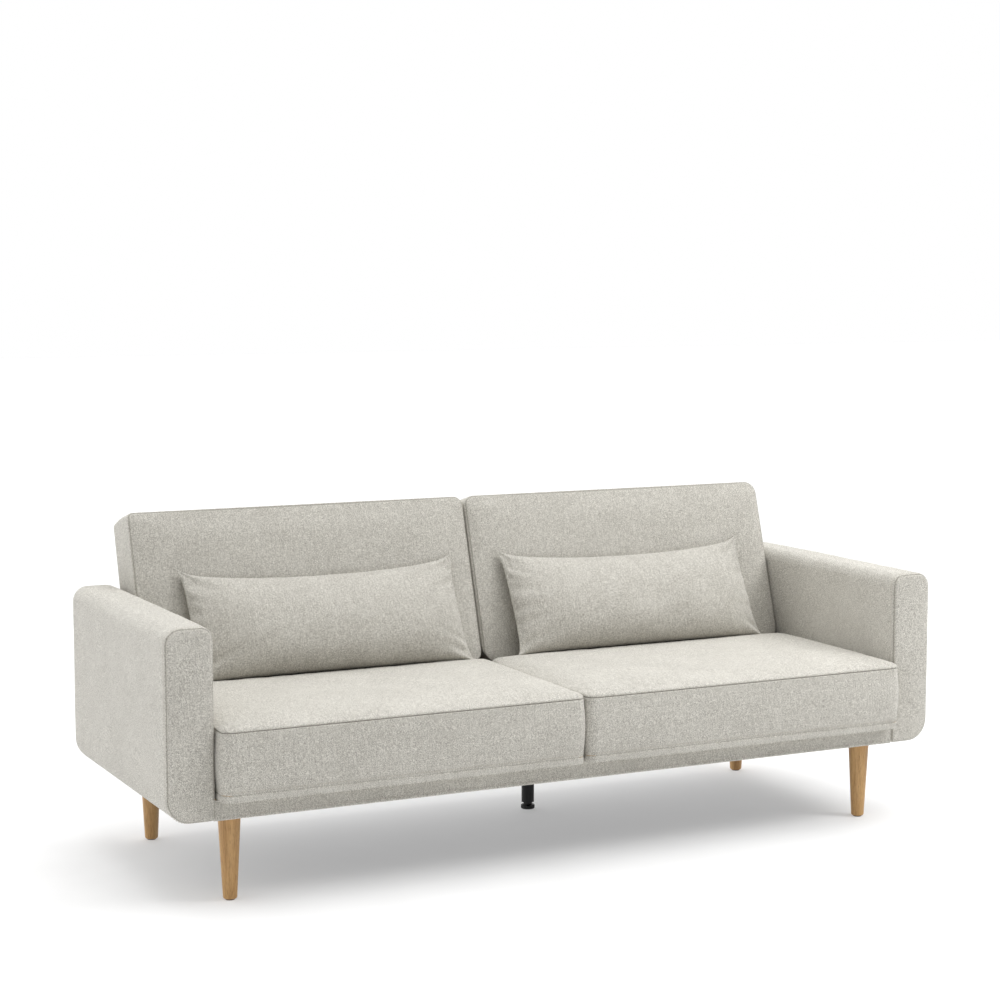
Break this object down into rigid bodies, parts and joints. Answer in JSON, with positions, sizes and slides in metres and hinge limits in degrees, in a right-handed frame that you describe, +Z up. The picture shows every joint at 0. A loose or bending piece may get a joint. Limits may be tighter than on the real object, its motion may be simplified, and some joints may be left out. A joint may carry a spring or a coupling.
{
  "type": "sofa bed",
  "caption": "Click-clack sofa bed with box arms, split reclining back, lumbar pillows and tapered wooden legs.",
  "frame": {"origin": "on the floor under the middle of the sofa, at the bottom centre of its bounding box", "axes": "+X to the right seen from the front, +Y from the front to the back, +Z up"},
  "size_m": [2.1, 0.8398, 0.8386],
  "materials": {
    "upholstery": "woven heathered greige linen look",
    "pillow_fabric": "woven heathered greige linen look",
    "foam": "soft open-cell foam",
    "filling": "polyester fibre",
    "dust_cloth": "black non-woven",
    "frame_timber": "sawn pine",
    "leg_wood": "satin clear lacquer on natural oak-coloured wood",
    "hinge_steel": "black satin coating",
    "webbing": "woven elastic webbing",
    "zinc_steel": "zinc plated",
    "black_plastic": "fine grained"
  },
  "bodies": {
    "base": {"arm_bolts": "zinc_steel", "arm_tee_nuts": "zinc_steel", "base_centre_beam": "frame_timber", "base_corner_blocks": "frame_timber", "base_front_rail": "frame_timber", "base_hinge_rail": "frame_timber", "base_left_rail": "frame_timber", "base_rail_covers": "upholstery", "base_rear_rail": "frame_timber", "base_right_rail": "frame_timber", "centre_hinge_bracket": "hinge_steel", "centre_leg_plate": "hinge_steel", "centre_leg_plug": "black_plastic", "centre_leg_tube": "hinge_steel", "dust_cover": "dust_cloth", "front_left_leg": "leg_wood", "front_right_leg": "leg_wood", "hinge_bracket_screws": "zinc_steel", "left_arm_cover": "upholstery", "left_arm_foam": "foam", "left_arm_panel": "frame_timber", "left_hinge_bracket": "hinge_steel", "left_seat_cover": "upholstery", "left_seat_foam": "foam", "leg_bolts": "zinc_steel", "leg_glides": "black_plastic", "leg_plates": "zinc_steel", "leg_screws": "zinc_steel", "rear_left_leg": "leg_wood", "rear_right_leg": "leg_wood", "right_arm_cover": "upholstery", "right_arm_foam": "foam", "right_arm_panel": "frame_timber", "right_hinge_bracket": "hinge_steel", "right_seat_cover": "upholstery", "right_seat_foam": "foam", "seat_frames": "frame_timber", "seat_webbing": "webbing"},
    "left_back": {"left_back_frame": "frame_timber", "left_back_webbing": "webbing", "left_back_foam": "foam", "left_back_cover": "upholstery", "left_back_screws": "zinc_steel", "left_hinge_arms": "hinge_steel", "left_hinge_pins": "zinc_steel"},
    "right_back": {"right_back_frame": "frame_timber", "right_back_webbing": "webbing", "right_back_foam": "foam", "right_back_cover": "upholstery", "right_back_screws": "zinc_steel", "right_hinge_arms": "hinge_steel", "right_hinge_pins": "zinc_steel"},
    "left_pawl": {"left_pawl": "hinge_steel"},
    "right_pawl": {"right_pawl": "hinge_steel"},
    "left_pillow": {"left_pillow_cover": "pillow_fabric", "left_pillow_filling": "filling"},
    "right_pillow": {"right_pillow_cover": "pillow_fabric", "right_pillow_filling": "filling"},
    "levelling_stem": {"levelling_stem": "zinc_steel"},
    "levelling_knob": {"levelling_knob": "black_plastic"}
  },
  "joints": [
    {"name": "left_back_recline", "type": "hinge", "parent": "base", "child": "left_back", "pos_m": [0, 0.21514, 0.359], "axis": [-1, 0, 0], "range_deg": [-6, 73]},
    {"name": "left_pawl_lift", "type": "hinge", "parent": "left_back", "child": "left_pawl", "pos_m": [-0.929, 0.25005, 0.40479], "axis": [-1, 0, 0], "range_deg": [0, 12], "stiffness_Nm_per_rad": 0.2, "springref_deg": -17.19},
    {"name": "left_pillow_lift", "type": "slide", "parent": "left_back", "child": "left_pillow", "axis": [0, 0, 1], "range_m": [0, 0.35]},
    {"name": "right_back_recline", "type": "hinge", "parent": "base", "child": "right_back", "pos_m": [0, 0.21514, 0.359], "axis": [-1, 0, 0], "range_deg": [-6, 73]},
    {"name": "right_pawl_lift", "type": "hinge", "parent": "right_back", "child": "right_pawl", "pos_m": [0.929, 0.25005, 0.40479], "axis": [-1, 0, 0], "range_deg": [0, 12], "stiffness_Nm_per_rad": 0.2, "springref_deg": -17.19},
    {"name": "right_pillow_lift", "type": "slide", "parent": "right_back", "child": "right_pillow", "axis": [0, 0, 1], "range_m": [0, 0.35]},
    {"name": "levelling_stem_travel", "type": "slide", "parent": "base", "child": "levelling_stem", "axis": [0, 0, 1], "range_m": [-0.01, 0.006]},
    {"name": "levelling_knob_turn", "type": "hinge", "parent": "levelling_stem", "child": "levelling_knob", "pos_m": [0.13, 0.15714, 0], "axis": [0, 0, 1], "range_deg": [-2404, 1444]}
  ],
  "couplings": [
    {"joint": "levelling_knob_turn", "follows": "levelling_stem_travel", "rad_per_m": 4188.8}
  ]
}
